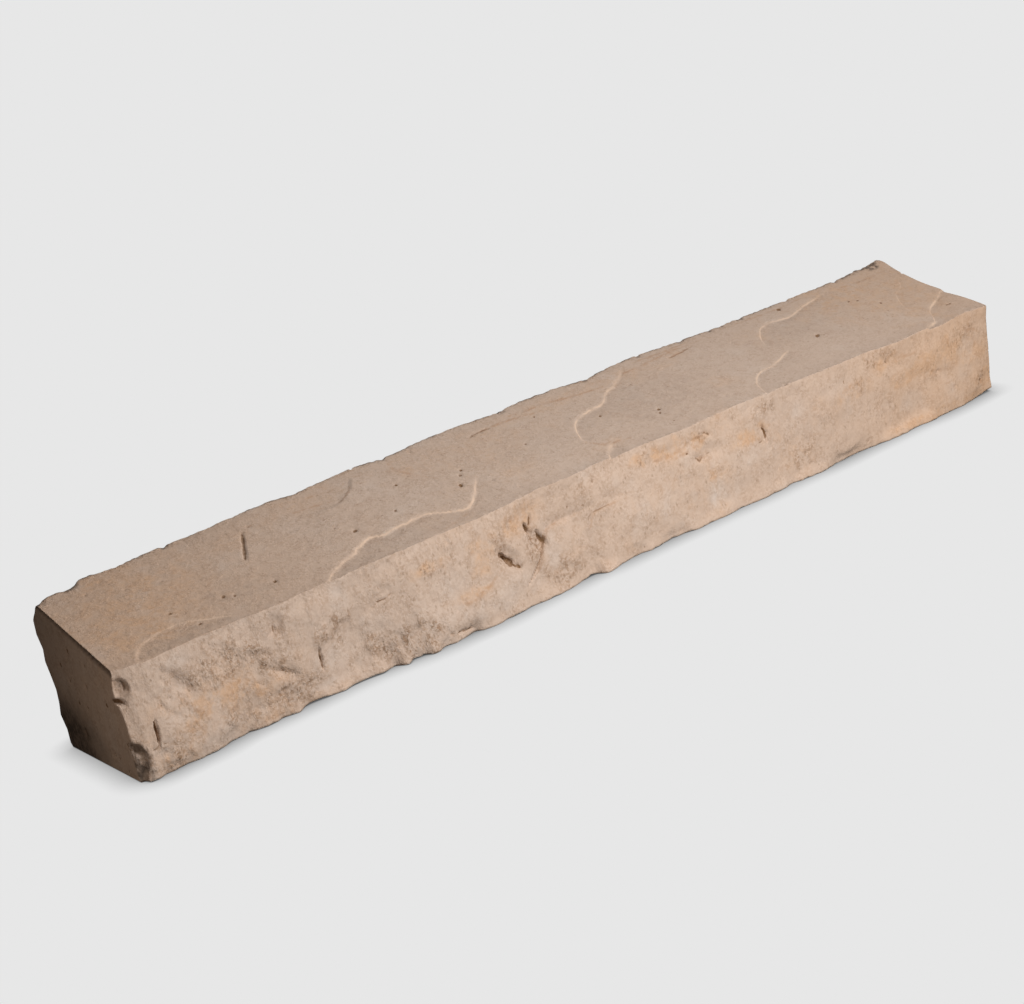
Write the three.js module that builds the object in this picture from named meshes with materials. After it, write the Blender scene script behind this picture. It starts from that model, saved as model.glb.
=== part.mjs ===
// Watertable sill: one cast stone ledge with a sloped top and a rock-face front.
// Millimetres, +Z up. X runs along the length, the rock face looks to -Y, and the
// back that is bonded to the wall looks to +Y. The underside is at z = 0.
import * as THREE from "three";

// Driving sizes
const length = 610;
const nominalDepth = 80;
const frontHeight = 57;
const backHeight = 80;
const backPlane = 43.5;
const shoulderDrop = 9;
const heelHeight = 2;
const heelCut = 1.5;
const endWear = 0.8;
const endDraw = 0.97;
const centring = 1.5;

const halfLength = length / 2;
const topSlope = (backHeight - frontHeight) / nominalDepth;

// How finely the surface is cut up. The stations crowd a little towards both ends.
const stationCount = 108;
const stationPull = 0.35;
const frontSteps = 13;
const topSteps = 12;
const backSteps = 7;
const underSteps = 2;
const footWidth = 4;

// Edges seen from above, as [x, y]: the toe is the lower front edge, the nose the
// upper front edge, and the crest the upper back edge.
const toeLine = [
  [-305, -41.5], [-297, -43.5], [-266, -43.5], [-245, -38.5], [-216, -41],
  [-190, -38.5], [-163, -38.5], [-150, -42.5], [-135, -46.5], [-112, -44.5],
  [-94, -45], [-66, -44], [-40, -42], [-25, -39], [-14, -42.5], [60, -41.5],
  [103, -43], [124, -39.8], [166, -44], [205, -41.5], [239, -40.2],
  [250, -43], [289, -42.8], [305, -39.5],
];
const noseLine = [
  [-305, -37.5], [-296, -39.8], [-269, -40.8], [-234, -39.2], [-185, -41.7],
  [-161, -42.7], [-110, -40.1], [-61, -39.1], [-40, -37.2], [5, -38.6],
  [39, -35.9], [79, -37.1], [115, -37.7], [130, -40], [151, -38.3],
  [184, -40.2], [218, -42.8], [254, -41.2], [292, -41.4], [305, -43],
];
const crestLine = [
  [-305, 34], [-294, 37], [-286, 36.3], [-275, 40.3], [-259, 38.8],
  [-241, 40.5], [-196, 41.6], [-168, 42.6], [-150, 41], [-110, 43],
  [-86, 41.2], [-58, 43.3], [-36, 43.4], [-17, 41.6], [6, 43.4],
  [28, 43.2], [53, 40.4], [72, 42.4], [98, 43.3], [119, 41.5],
  [155, 39.9], [258, 39.6], [274, 41.5], [305, 42.4],
];
// How far the toe is chipped up off the underside, as [x, z]
const toeLift = [
  [-305, 1.6], [-298, 0.3], [-214, 0.3], [-207, 2.4], [-196, 0.8],
  [-168, 2.2], [-158, 0.2], [-145, 1.6], [-137, 0.2], [-34, 0.2],
  [-26, 2], [-19, 0.2], [286, 0.2], [305, 2.2],
];

// Broad dents and swellings of the rock face: [x, z, half width, half height,
// turn in degrees, height out of the face]
const faceForms = [
  [-302, 49.5, 6.5, 5, 0, -3.4],
  [-305, 41.5, 5, 3.5, 0, -3.6],
  [-303, 12, 6, 11, 0, -3.4],
  [-284, 22, 11, 16, 0, 1.4],
  [-272, 39, 10, 5, -45, -1.9],
  [-250, 44, 15, 11, 0, 1],
  [-241, 24, 20, 9, -15, 1.3],
  [-217, 48, 4.5, 8, 0, -1.6],
  [-217, 21, 9, 4.5, -38, -1.7],
  [-216, 9, 13, 7, 0, -2.2],
  [-192, 39, 14, 17, 0, 1.9],
  [-178, 24, 9, 16, 20, -1.4],
  [-160, 44, 13, 10, 0, 1],
  [-146, 10, 17, 9, 0, -2.2],
  [-126, 30, 10, 17, 25, -1.2],
  [-100, 13, 24, 10, 5, 1.6],
  [-77, 29.5, 10, 5, -50, -2.2],
  [-66, 44, 12, 8, 10, -1],
  [-56, 31, 5, 8, 30, -1.9],
  [-38, 19, 17, 13, 0, 1.9],
  [-10, 45, 20, 7, 0, 0.8],
  [14, 22, 22, 14, 0, 0.9],
  [44, 47, 26, 5, 0, -0.9],
  [70, 38, 14, 4.5, 0, -1],
  [84, 24, 18, 12, 0, 1],
  [113, 37, 5, 7, 0, -1.5],
  [140, 16, 20, 10, 0, -0.8],
  [168, 34, 18, 9, 0, 1],
  [208, 21, 11, 8, 0, -1.2],
  [222, 45, 12, 7, -20, -1],
  [244, 40, 16, 8, 0, 0.9],
  [262, 24, 14, 5, 0, -1],
  [292, 38, 12, 9, 0, -1.3],
  [296, 10, 9, 5, 0, -1.2],
];

// Cleft steps of the top: the line of the step as [x, y], and how far the surface
// right of the line, seen along it, drops below the surface left of it.
const clefts = [
  { drop: 0.5, line: [[-290, -38], [-275, -25], [-250, -27], [-230, -38]] },
  {
    drop: 1.1,
    line: [
      [-185, -42], [-178, -34], [-160, -29], [-145, -21], [-125, -23],
      [-110, -20], [-90, -28], [-80, -23], [-71, -14],
    ],
  },
  {
    drop: 1.1,
    line: [[4, -40], [11, -27], [7, -18], [6, -9], [12, 1], [24, 9], [40, 11], [55, 23], [68, 27], [79, 38]],
  },
  { drop: 0.8, line: [[121, -36], [130, -23], [145, -20], [167, -13]] },
  { drop: 0.9, line: [[165, 6], [180, 20], [205, 20], [225, 26], [245, 31]] },
  { drop: 0.8, line: [[254, -42], [268, -36], [275, -26], [301, -12]] },
  { drop: -0.7, line: [[-157, 20], [-135, 20], [-122, 28], [-118, 34]] },
];
const cleftReach = 26;
const cleftWidth = 2.5;
const cleftTaper = 1 / 6;
// How sharply a dent or a swelling ends
const formEdge = 1.2;

// Layers of lumps: the width of a lump, its height, and the seed of its pattern
const faceLumps = [[46, 1.2, 1], [23, 0.8, 2], [12, 0.45, 3]];
const topLumps = [[70, 0.35, 4], [30, 0.2, 5]];
// The rock face is livelier at its left end than at its right end.
const faceLiveliness = { left: 1.25, right: 0.75 };
const noseCalm = 9;
const toeCalm = { share: 0.35, height: 10 };

// Hollows of the back: lump width, depth, the share of each lump that is left flat, seed
const backHollows = [[40, 5, 0.35, 6], [21, 3, 0.45, 7]];
const leftBackWear = { reach: 26, low: 4.8, high: 1.8, from: 38, to: 58 };

const clamp01 = (v) => Math.min(1, Math.max(0, v));
const ease = (v) => clamp01(v) ** 2 * (3 - 2 * clamp01(v));
const mix = (a, b, t) => a + (b - a) * t;

// Smooth curve through the points of an edge line, with no overshoot between them
function along(line, x) {
  const last = line.length - 1;
  const slope = (k) => (line[k][1] - line[k - 1][1]) / (line[k][0] - line[k - 1][0]);
  const tangent = (k) => {
    const [before, after] = k === 0 || k === last ? [0, 0] : [slope(k), slope(k + 1)];
    return before * after > 0 ? (2 * before * after) / (before + after) : 0;
  };
  let i = 1;
  while (i < last && line[i][0] < x) i += 1;
  const [x0, v0] = line[i - 1];
  const [x1, v1] = line[i];
  const t = clamp01((x - x0) / (x1 - x0));
  const bend = tangent(i - 1) * (1 - t) - tangent(i) * t;
  return mix(v0, v1, ease(t)) + (x1 - x0) * t * (1 - t) * bend;
}

// Smooth random surface between -1 and 1, with lumps of the given width. The scatter
// numbers only have to be unlike each other, so that no corner repeats its neighbour.
const scatter = { column: 127.1, row: 311.7, seed: 74.7, stretch: 43758.5453 };

function lumps(u, v, width, seed) {
  const corner = (i, j) => {
    const angle = i * scatter.column + j * scatter.row + seed * scatter.seed;
    const s = Math.sin(angle) * scatter.stretch;
    return 2 * (s - Math.floor(s)) - 1;
  };
  const i = Math.floor(u / width);
  const j = Math.floor(v / width);
  const s = ease(u / width - i);
  const t = ease(v / width - j);
  const low = mix(corner(i, j), corner(i + 1, j), s);
  const high = mix(corner(i, j + 1), corner(i + 1, j + 1), s);
  return mix(low, high, t);
}

function layered(layers, u, v) {
  return layers.reduce((sum, [width, height, seed]) => sum + height * lumps(u, v, width, seed), 0);
}

// Height of one dent or swelling at a point of the rock face
function formHeight([cx, cz, halfWidth, halfHeight, turn, height], x, z) {
  const a = THREE.MathUtils.degToRad(turn);
  const u = ((x - cx) * Math.cos(a) + (z - cz) * Math.sin(a)) / halfWidth;
  const v = ((z - cz) * Math.cos(a) - (x - cx) * Math.sin(a)) / halfHeight;
  return height * Math.exp(-formEdge * Math.hypot(u, v) ** 3);
}

// How far the rock face stands out of its plane
function faceRelief(x, z, top) {
  const lively = mix(faceLiveliness.left, faceLiveliness.right, ease(x / length + 0.5));
  const forms = faceForms.reduce((sum, form) => sum + formHeight(form, x, z), 0);
  const underNose = ease((top - z) / noseCalm);
  const overToe = mix(toeCalm.share, 1, ease(z / toeCalm.height));
  return (lively * layered(faceLumps, x, z) + forms) * underNose * overToe;
}

// Distance from a cleft's line, positive on its lower side, and how far along it lies
function cleftSide(line, x, y) {
  let best = { distance: Infinity, side: 0, at: 0 };
  for (let i = 1; i < line.length; i += 1) {
    const [ax, ay] = line[i - 1];
    const [dx, dy] = [line[i][0] - ax, line[i][1] - ay];
    const t = clamp01(((x - ax) * dx + (y - ay) * dy) / (dx * dx + dy * dy));
    const distance = Math.hypot(x - ax - t * dx, y - ay - t * dy);
    if (distance < best.distance) {
      const side = Math.sign((x - ax) * dy - (y - ay) * dx);
      best = { distance, side, at: (i - 1 + t) / (line.length - 1) };
    }
  }
  return best;
}

function cleftHeight({ drop, line }, x, y) {
  const { distance, side, at } = cleftSide(line, x, y);
  const ends = ease(at / cleftTaper) * ease((1 - at) / cleftTaper);
  const spread = Math.max(0, 1 - distance / cleftReach) ** 2;
  return -drop * ends * spread * ease(0.5 + (side * distance) / cleftWidth);
}

// How far the top stands over its slope
function topRelief(x, y) {
  return clefts.reduce((sum, cleft) => sum + cleftHeight(cleft, x, y), layered(topLumps, x, y));
}

// How deep the back is hollowed behind its bonding plane
function backHollow(x, z) {
  const { reach, low, high, from, to } = leftBackWear;
  const wear = mix(low, high, ease((z - from) / (to - from))) * ease(1 - (x + halfLength) / reach);
  return backHollows.reduce(
    (sum, [width, depth, flat, seed]) => sum + depth * Math.max(0, lumps(x, z, width, seed) - flat),
    wear,
  );
}

// One cross section of the sill, as [y, z] points: up the rock face, back over the
// top, down the back, and home along the underside.
function section(x) {
  const slopeAt = (y) => frontHeight + (y + nominalDepth / 2) * topSlope;
  const [toeY, toeZ] = [along(toeLine, x), along(toeLift, x)];
  const noseY = along(noseLine, x);
  const noseZ = slopeAt(noseY);
  const crestY = along(crestLine, x);
  const points = [];
  for (let i = 0; i < frontSteps; i += 1) {
    const z = mix(toeZ, noseZ, i / frontSteps);
    points.push([mix(toeY, noseY, i / frontSteps) - faceRelief(x, z, noseZ), z]);
  }
  for (let i = 0; i <= topSteps; i += 1) {
    const y = mix(noseY, crestY, i / topSteps);
    points.push([y, slopeAt(y) + topRelief(x, y)]);
  }
  for (let i = 0; i < backSteps; i += 1) {
    const z = mix(slopeAt(crestY) - shoulderDrop, heelHeight, i / (backSteps - 1));
    points.push([backPlane - backHollow(x, z), z]);
  }
  const heelY = backPlane - backHollow(x, heelHeight) - heelCut;
  for (let i = 0; i <= underSteps; i += 1) {
    points.push([mix(heelY, toeY + footWidth, i / underSteps), 0]);
  }
  return points;
}

// The ring of an end face: its section drawn in a little, so that the end's edges are
// worn and the rest of it is flat.
function endRing(points) {
  const middle = [0, backHeight / 2];
  return points.map((point) => point.map((v, i) => mix(middle[i], v, endDraw)));
}

function sillGeometry() {
  const rings = [];
  for (let s = 0; s < stationCount; s += 1) {
    const t = (2 * s) / (stationCount - 1) - 1;
    const x = (halfLength - endWear) * (t + (stationPull * Math.sin(Math.PI * t)) / Math.PI);
    rings.push({ x, points: section(x) });
  }
  rings.unshift({ x: -halfLength, points: endRing(rings[0].points) });
  rings.push({ x: halfLength, points: endRing(rings.at(-1).points) });

  const vertices = rings.flatMap(({ x, points }) => points.flatMap(([y, z]) => [x, y + centring, z]));
  const round = rings[0].points.length;
  const faces = [];
  for (let r = 0; r < rings.length - 1; r += 1) {
    for (let i = 0; i < round; i += 1) {
      const a = r * round + i;
      const b = r * round + ((i + 1) % round);
      faces.push(a, a + round, b + round, a, b + round, b);
    }
  }
  const cap = (ring, flip) => {
    const outline = rings[ring].points.map(([y, z]) => new THREE.Vector2(y, z));
    for (const corners of THREE.ShapeUtils.triangulateShape(outline, [])) {
      const inOrder = corners.sort((p, q) => (flip ? q - p : p - q));
      faces.push(...inOrder.map((corner) => ring * round + corner));
    }
  };
  cap(0, false);
  cap(rings.length - 1, true);

  const geometry = new THREE.BufferGeometry();
  geometry.setAttribute("position", new THREE.Float32BufferAttribute(vertices, 3));
  geometry.setIndex(faces);
  geometry.computeVertexNormals();
  return geometry;
}

const stone = new THREE.MeshStandardMaterial({ color: 0xc3a994, roughness: 0.92, metalness: 0 });
const sill = new THREE.Mesh(sillGeometry(), stone);
sill.name = "cast_stone_sill";

const part = new THREE.Group();
part.add(sill);

export default part;
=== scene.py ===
import math

import bpy
import numpy as np
from mathutils import Euler, Matrix, Vector
from mathutils.geometry import delaunay_2d_cdt


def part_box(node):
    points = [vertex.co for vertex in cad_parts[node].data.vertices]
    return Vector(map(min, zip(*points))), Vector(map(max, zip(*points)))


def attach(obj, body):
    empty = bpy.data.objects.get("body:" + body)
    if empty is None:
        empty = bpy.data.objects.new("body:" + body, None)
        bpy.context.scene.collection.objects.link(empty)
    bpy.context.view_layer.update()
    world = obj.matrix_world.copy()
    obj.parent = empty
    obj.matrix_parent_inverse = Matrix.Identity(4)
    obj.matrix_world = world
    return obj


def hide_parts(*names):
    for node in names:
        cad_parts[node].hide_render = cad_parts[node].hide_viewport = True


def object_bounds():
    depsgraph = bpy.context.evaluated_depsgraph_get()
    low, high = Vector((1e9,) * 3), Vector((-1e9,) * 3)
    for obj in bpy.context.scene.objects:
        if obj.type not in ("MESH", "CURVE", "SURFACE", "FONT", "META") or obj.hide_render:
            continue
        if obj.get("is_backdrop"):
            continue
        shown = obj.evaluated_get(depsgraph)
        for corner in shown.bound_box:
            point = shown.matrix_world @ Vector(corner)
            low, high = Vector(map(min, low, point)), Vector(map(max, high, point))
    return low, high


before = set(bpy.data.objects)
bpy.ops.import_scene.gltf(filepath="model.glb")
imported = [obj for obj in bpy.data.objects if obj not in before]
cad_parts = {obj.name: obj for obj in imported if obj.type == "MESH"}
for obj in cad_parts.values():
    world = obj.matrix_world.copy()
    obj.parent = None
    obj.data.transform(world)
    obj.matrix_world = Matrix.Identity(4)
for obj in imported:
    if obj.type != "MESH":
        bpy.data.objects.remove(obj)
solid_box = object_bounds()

MM = 0.001
NODE = "cast_stone_sill"
sill_low, sill_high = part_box(NODE)

# The stone's own sizes. CENTRING takes the tables' y to the frame's.
LENGTH = round((sill_high.x - sill_low.x) / MM)
HALF_LENGTH = LENGTH / 2
CENTRING = 1.5
BACK_PLANE = sill_high.y / MM - CENTRING
NOMINAL_DEPTH = 80
FRONT_HEIGHT = 57
BACK_HEIGHT = 80
TOP_SLOPE = (BACK_HEIGHT - FRONT_HEIGHT) / NOMINAL_DEPTH
SHOULDER_DROP = 9
HEEL_HEIGHT = 2
HEEL_CUT = 1.5
# How far the last cross sections stand in from the ends, and how much the ends draw in
END_WEAR = 0.5
END_DRAW = 0.985

# How far the nose arris is rounded, and the foot of the face, which follows its chips
ARRIS_ROUND = 0.25
FOOT_WIDTH = 4
FOOT_HEIGHT = 8

# How finely the stone is cut up: cross sections, the steps of each side of one, and the
# grid of the end sheets
STATIONS = 610
FACE_STEPS = 56
TOP_STEPS = 66
CREST_STEPS = 6
BACK_STEPS = 10
UNDER_STEPS = 4
END_GRID = 1.25
# Where the cross sections stand closer: x, reach, and how much closer
CLOSER = [
    (-305, 20, 1.3), (-196, 7, 0.5), (-116, 14, 0.5), (-67, 20, 0.9), (112, 7, 0.5), (300, 8, 0.5),
]

# Edges seen from above, as (x, y): the toe is the lower front edge, the nose the
# upper front edge, and the crest the upper back edge. The rock face falls to the toe
# line, and only its last few millimetres follow the chips of the foot line.
TOE_LINE = [
    (-305, -41.5), (-297, -43.5), (-266, -43.5), (-245, -38.5), (-216, -41), (-190, -39),
    (-163, -39), (-150, -42.5), (-135, -46), (-112, -44.5), (-94, -45.3), (-66, -44.5),
    (-40, -42.5), (-25, -40), (-14, -42.8), (60, -42), (103, -43), (124, -40.5), (166, -43),
    (205, -41.8), (239, -41), (250, -43), (289, -42), (305, -39.5),
]
FOOT_LINE = [
    (-305, -42.5), (-299, -44.5), (-292, -42), (-280, -42), (-266, -43.3), (-254, -39.3),
    (-245, -38.8), (-234, -41.5), (-224, -39.4), (-217, -42.2), (-211, -38.5), (-204, -39),
    (-196, -41), (-190, -41.8), (-183, -40.7), (-172, -41.2), (-165, -41.8), (-158, -39.2),
    (-152, -45.2), (-146, -42.5), (-141, -43.2), (-136, -46.7), (-128, -44), (-121, -44.9),
    (-112, -43.3), (-108, -42.6), (-104, -45), (-96, -46.7), (-88, -45.7), (-82, -46.3), (-66, -45),
    (-55, -45.5), (-42, -43.8), (-32, -41.5), (-24, -41), (-18, -46), (-8, -43.6), (0, -42.3),
    (9, -41), (17, -43.5), (34, -40.7), (42, -41), (51, -44), (61, -43.3), (75, -44), (88, -42.4),
    (103, -44.3), (110, -42.8), (119, -43), (127, -41), (136, -43.5), (148, -44), (160, -42.2),
    (168, -40.7), (182, -40), (192, -41.5), (204, -43), (220, -44.6), (232, -42.8), (245, -44.4),
    (257, -42.2), (271, -42.6), (288, -40.4), (298, -40), (305, -40.5),
]
NOSE_LINE = [
    (-305, -37.5), (-296, -40), (-288, -40.4), (-275, -39.7), (-245, -39.5), (-220, -40.8),
    (-200, -40.4), (-180, -40.2), (-162, -39.2), (-142, -40.2), (-110, -40.1), (-75, -39.4),
    (-45, -37.5), (-28, -38.3), (0, -37.1), (12, -37.1), (35, -38.2), (58, -39.4), (90, -38.2),
    (118, -39), (130, -38.7), (155, -39.8), (180, -40.3), (200, -40), (215, -41.8), (228, -42.9),
    (248, -42.3), (266, -43.3), (285, -42.6), (305, -44.6),
]
CREST_LINE = [
    (-305, 34), (-294, 37), (-286, 36.3), (-275, 40.3), (-259, 38.8), (-241, 40.5), (-196, 41.6),
    (-168, 42.6), (-150, 41), (-110, 43), (-86, 41.2), (-58, 43.3), (-36, 43.4), (-17, 41.6),
    (6, 43.4), (28, 43.2), (53, 40.4), (72, 42.4), (98, 43.3), (119, 41.5), (155, 39.9),
    (200, 40.2), (258, 40.2), (274, 41.8), (292, 43), (305, 43),
]
# How far the toe is chipped up off the underside, as (x, z)
TOE_LIFT = [
    (-305, 1), (-298, 0.2), (-214, 0.2), (-207, 1.2), (-196, 0.4), (-168, 1), (-158, 0.1),
    (-145, 0.8), (-137, 0.1), (-34, 0.1), (-26, 1), (-19, 0.1), (286, 0.1), (305, 2.2),
]

# Broad dents and swellings of the rock face: x, z, half width, half height, turn in
# degrees, and height out of the face
FACE_FORMS = [
    (-305, 44, 5, 9, 0, -1.6), (-284, 22, 11, 16, 0, 1.2), (-272, 38, 11, 5, -50, -1.2),
    (-250, 44, 15, 11, 0, 1), (-241, 24, 20, 9, -15, 1.3), (-218, 47, 4.5, 7, 0, -1.1),
    (-217, 21, 9, 4.5, -38, -1.1), (-216, 9, 13, 7, 0, -1.7), (-192, 39, 14, 17, 0, 1.6),
    (-178, 24, 9, 16, 20, -1.4), (-160, 44, 13, 10, 0, 1), (-146, 10, 17, 9, 0, -1.5),
    (-126, 30, 10, 17, 25, -1.2), (-100, 13, 24, 10, 5, 1.6), (-77, 29.5, 10, 5, -50, -2.2),
    (-66, 44, 12, 8, 10, -1), (-56, 31, 5, 8, 30, -1.9), (-38, 19, 17, 13, 0, 1.9),
    (-10, 45, 20, 7, 0, 0.8), (14, 22, 22, 14, 0, 0.9), (44, 47, 26, 5, 0, -0.9),
    (70, 38, 14, 4.5, 0, -1), (84, 24, 18, 12, 0, 1), (113, 37, 5, 7, 0, -0.9),
    (140, 16, 20, 10, 0, -0.5), (168, 34, 18, 9, 0, 0.6), (208, 21, 11, 8, 0, -0.5),
    (222, 45, 12, 7, -20, -0.6), (244, 40, 16, 8, 0, 0.5), (262, 24, 14, 5, 0, -0.5),
    (292, 38, 12, 9, 0, -0.4), (296, 10, 9, 5, 0, -0.5),
]
# How crisp their edges are
FORM_EDGE = 1.35

# Pieces broken out of the rock face: depth at the right of the break, how much deeper
# it gets for each millimetre to the left, the width of its wall, how coarse its floor
# is, and its outline (x, z)
FACE_BREAKS = [
    (2.6, -0.26, 0.9, 0.3, [
        (-302.8, 53), (-300.3, 51.6), (-298.8, 49), (-298.7, 46.3), (-300, 44), (-302.4, 43),
        (-305.4, 43.4), (-309, 46), (-308, 52.5),
    ]),
    (3.2, 0.1, 0.8, 0.3, [
        (-309, 44.4), (-306, 43.4), (-303, 41.4), (-302.6, 39.6), (-305, 39.7), (-309, 41.6),
    ]),
    (1.2, 0.7, 1.1, 1, [
        (-311, 26.5), (-307.5, 24.5), (-304, 20.7), (-301.2, 17.3), (-299.8, 14.2), (-299.2, 9.4),
        (-301.6, 6.7), (-302.6, 1), (-303, -3), (-312, -3),
    ]),
    (1.3, 0.05, 1, 0.5, [(-304, 19.5), (-302, 19), (-299.5, 14.5), (-301, 13), (-303, 15)]),
    (0.6, 0.03, 2.6, 0.4, [
        (-281, 50), (-276, 46), (-271, 41), (-267, 34), (-270, 32), (-277, 38), (-284, 45),
    ]),
    (0.5, 0.03, 1.8, 0.4, [(-219, 53), (-214.5, 50), (-214, 42), (-217, 39), (-221, 45)]),
    (0.6, 0.05, 1.6, 0.4, [(-226, 27.5), (-219, 24), (-210, 18.5), (-213, 15.5), (-222, 20)]),
]
# Low ledges of the rock face: drop, and the line as (x, z). The surface right of the
# line, seen along it, lies deeper. A brown line of painted shade follows the longest one.
LONG_LEDGE = [
    (-24, 36.6), (-34, 35), (-42, 35.2), (-47, 34.4), (-50.2, 31.4), (-52, 28.2),
    (-54.4, 24), (-56.8, 19.8), (-61.2, 15.8), (-66.6, 13),
]
FACE_LEDGES = [
    (1.3, LONG_LEDGE),
    (0.7, [(8, 36), (-5, 33.8), (-16.5, 33.2), (-19.6, 31), (-20.5, 26)]),
    (0.5, [(0, 37.5), (-20, 36), (-35, 35.6), (-52, 34.4)]),
    (0.8, [(-288, 40), (-286, 35.5), (-283.5, 30.5), (-280, 27), (-275, 23.5)]),
    (0.5, [(262, 24.5), (250, 28), (240, 27)]),
    (0.6, [(-150, 40), (-159, 37.5), (-166, 31)]),
    (0.5, [(-236, 42), (-231, 33), (-224, 27)]),
]
# How far a ledge reaches, and how wide its edge is
LEDGE_REACH = 9
LEDGE_WIDTH = 1.3

# Long pits, slits and cracks of the rock face: half width, depth, and the line as (x, z)
FACE_MARKS = [
    (0.82, 3.3, [(-291.4, 29.5), (-292, 25), (-292.5, 19.5), (-293, 13.5)]),
    (1.15, 2.6, [(-309, 43.8), (-305.3, 42.2), (-301.4, 39.8)]),
    (0.6, 0.7, [(-301.6, 52.2), (-299.8, 50), (-299.4, 47), (-300.6, 44.4)]),
    (0.5, 0.6, [(-292.6, 16.6), (-290, 15.6), (-287.5, 14.6)]),
    (0.5, 0.5, [(-292.6, 16.6), (-294.3, 15), (-297.3, 14.6)]),
    (0.5, 0.7, [(-236.5, 25), (-233, 22), (-229, 19.8)]),
    (0.5, 0.7, [(-230, 38), (-226, 34), (-222, 27)]),
    (0.5, 0.8, [(-218, 49), (-218.6, 45), (-217.8, 41.5)]),
    (0.6, 0.8, [(-221, 24.5), (-217, 21.6), (-211.5, 18)]),
    (0.65, 2.6, [(-196.8, 28), (-197.2, 23), (-197, 16), (-196.6, 14.5)]),
    (0.5, 1.1, [
        (-149.2, 39.6), (-150, 37.9), (-152.8, 37.1), (-155.3, 36.1), (-157.3, 36.3),
        (-159.5, 35.7), (-161.4, 33.9), (-162.8, 31.8),
    ]),
    (0.6, 2, [(-124, 5.5), (-117, 4), (-111, 3.2), (-104, 2.6)]),
    (1.3, 2.2, [(-83, 34.4), (-79.6, 31), (-76.8, 28)]),
    (2, 2.6, [(-79.6, 30.6), (-76.4, 27), (-73.6, 24.4)]),
    (0.9, 1.5, [(-75, 25), (-71.6, 22.8), (-70, 22.2)]),
    (1, 3, [(-61.3, 43.4), (-60.3, 39.9), (-58.7, 36.2)]),
    (0.6, 1.6, [(-56.2, 46.4), (-57.1, 43), (-58.6, 39.8)]),
    (0.95, 2, [(-54.6, 36.8), (-53, 33), (-51.4, 30), (-50, 27.2)]),
    (0.55, 1.1, [
        (-50.5, 31.5), (-52, 27.6), (-55.4, 23.2), (-58.8, 19), (-63.8, 15), (-69.8, 11.6),
    ]),
    (0.35, 0.25, [(-58.5, 22), (-62.5, 17.4), (-68, 14.2)]),
    (0.45, 0.4, [(-20.3, 26), (-19.6, 31), (-16.5, 33.2), (-5, 33.8), (8, 36)]),
    (0.6, 1.3, [(59.8, 40.6), (61.4, 38), (63.2, 35.4), (65.2, 36.2), (68, 36.8)]),
    (0.8, 1, [(67.5, 50.8), (72, 49.2), (75.5, 46)]),
    (0.95, 2.2, [(113.2, 39.6), (114.8, 35.4), (114.6, 30)]),
    (0.45, 0.7, [(201, 55.5), (201.7, 51.5), (203.5, 48.5)]),
]
# Small straight nicks of the rock face: half width, depth, and the ends, as x, z, x, z
FACE_NICKS = [
    (0.5, 0.7, -286.2, 33, -285.8, 32.8), (0.55, 0.8, -273.5, 24.8, -271.7, 26),
    (0.5, 0.8, -157.5, 45, -155.8, 41.5), (0.6, 0.8, -50.6, 33, -49.6, 30),
    (0.7, 0.9, -12, 48.5, -10.5, 51), (0.6, 0.6, -31.4, 41.3, -30.6, 41.8),
    (0.5, 0.5, 20, 52, 22, 49), (0.5, 0.7, 69.5, 37.5, 73.5, 38), (0.5, 0.6, 112.5, 32, 107, 31),
    (0.5, 0.5, 70.5, 27, 68, 23), (0.6, 1, 180, 47, 180.8, 43), (0.7, 0.7, 214.5, 47.5, 217.5, 45),
    (0.5, 0.6, 222.5, 48, 225, 44), (0.8, 1.5, 294, 12, 294.3, 9), (0.6, 0.8, 191, 3.6, 193, 6),
    (0.6, 0.7, 12.3, 4, 12.6, 2), (0.6, 0.7, 54.5, 43, 55.2, 42.6),
]
# Places where the rock face has lost its skin and shows coarse grain: x, z, half
# width, half height
FACE_COARSE = [
    (-302, 11, 6, 12), (-216, 10, 16, 8), (-250, 11, 14, 7), (-146, 10, 17, 10), (-165, 14, 8, 8),
    (-284, 10, 10, 7), (-245, 38, 24, 12), (-188, 33, 12, 9), (-44, 10, 12, 8), (-60, 28, 6, 8),
]

# Smooth places of the rock face, and gritty ones where brown grains show: x, z, half
# width, half height, strength
FACE_SMOOTH = [(-298, 28, 8, 13, 1), (-291, 36, 5, 6, 0.7), (262, 12, 40, 12, 0.6)]
FACE_GRITTY = [
    (282, 43, 14, 8, 1), (117, 50, 13, 5, 0.8), (209, 51, 10, 5, 0.9), (-78, 40, 12, 10, 0.8),
    (-18, 46, 6, 9, 0.7), (25, 47, 9, 5, 0.8), (64, 48, 12, 4, 0.8), (190, 38, 12, 6, 0.6),
    (-125, 43, 13, 4, 0.5), (208, 20, 12, 9, 0.8), (140, 12, 16, 9, 0.6), (296, 12, 8, 5, 0.7),
    (-143, 10, 16, 9, 0.9), (-216, 9, 14, 7, 0.7), (-222, 30, 12, 8, 0.6), (-58, 30, 5, 8, 0.8),
    (70, 27, 6, 4, 0.5), (255, 28, 14, 4, 0.5),
]

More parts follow.
